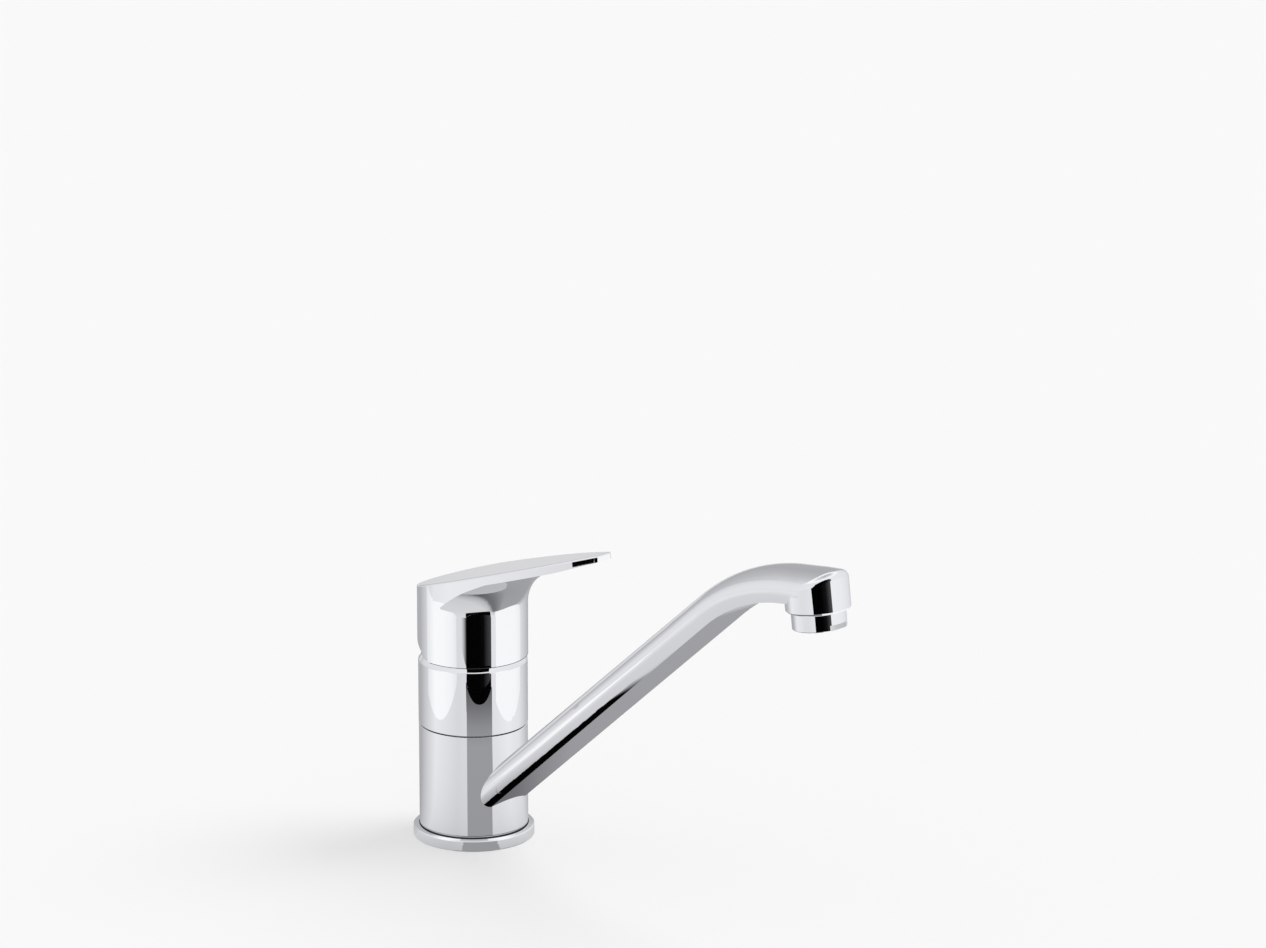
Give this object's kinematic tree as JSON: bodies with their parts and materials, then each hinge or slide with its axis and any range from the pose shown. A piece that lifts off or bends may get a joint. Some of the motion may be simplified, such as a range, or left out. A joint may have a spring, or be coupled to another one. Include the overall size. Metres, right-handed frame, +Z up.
{
  "type": "kitchen faucet",
  "caption": "Chrome lever kitchen faucet: round body on a deck flange, straight rising spout that swivels, flat tapered lever that turns and lifts over a mixing cartridge.",
  "frame": {"origin": "on the body's axis in the deck plane, where the column's foot sits", "axes": "+Z up along the body, +X from the body to the outlet, +Y to the left looking along +X"},
  "size_m": [0.2542, 0.0554, 0.1726],
  "materials": {
    "polished_chrome": "polished chrome plate",
    "turned_brass": "turned",
    "stainless_steel": "satin",
    "disc_ceramic": "lapped",
    "cartridge_plastic": "moulded",
    "bearing_plastic": "moulded",
    "plug_plastic": "moulded, gloss",
    "black_rubber": "moulded"
  },
  "bodies": {
    "base": {"base_ring": "polished_chrome", "deck_gasket": "black_rubber", "valve_body": "polished_chrome", "lower_slip_ring": "bearing_plastic", "upper_slip_ring": "bearing_plastic", "lower_spout_seal": "black_rubber", "upper_spout_seal": "black_rubber", "port_seals": "black_rubber", "disc_seals": "black_rubber", "cartridge_base": "cartridge_plastic", "fixed_disc": "disc_ceramic", "cartridge_housing": "cartridge_plastic", "cartridge_nut": "turned_brass", "bonnet": "polished_chrome"},
    "spout": {"spout": "polished_chrome", "aerator_housing": "polished_chrome", "aerator_insert": "cartridge_plastic", "aerator_screen": "stainless_steel", "aerator_washer": "black_rubber"},
    "rotor": {"rotor": "cartridge_plastic", "pivot_pin": "stainless_steel"},
    "lever": {"handle": "polished_chrome", "lever_stem": "turned_brass", "set_screw": "stainless_steel", "index_plug": "plug_plastic"},
    "disc_carriage": {"moving_disc": "disc_ceramic", "disc_carrier": "cartridge_plastic"}
  },
  "joints": [
    {"name": "spout_swivel", "type": "hinge", "parent": "base", "child": "spout", "pos_m": [0, 0, 0.03], "axis": [0, 0, 1], "continuous": true},
    {"name": "handle_turn", "type": "hinge", "parent": "base", "child": "rotor", "pos_m": [0, 0, 0.08], "axis": [0, 0, 1], "range_deg": [-45, 45]},
    {"name": "handle_lift", "type": "hinge", "parent": "rotor", "child": "lever", "pos_m": [0, 0, 0.088], "axis": [0, -1, 0], "range_deg": [0, 22]},
    {"name": "disc_slide", "type": "slide", "parent": "rotor", "child": "disc_carriage", "axis": [1, 0, 0], "range_m": [0, 0.0046]}
  ],
  "couplings": [
    {"joint": "disc_slide", "follows": "handle_lift", "m_per_rad": 0.011926}
  ]
}
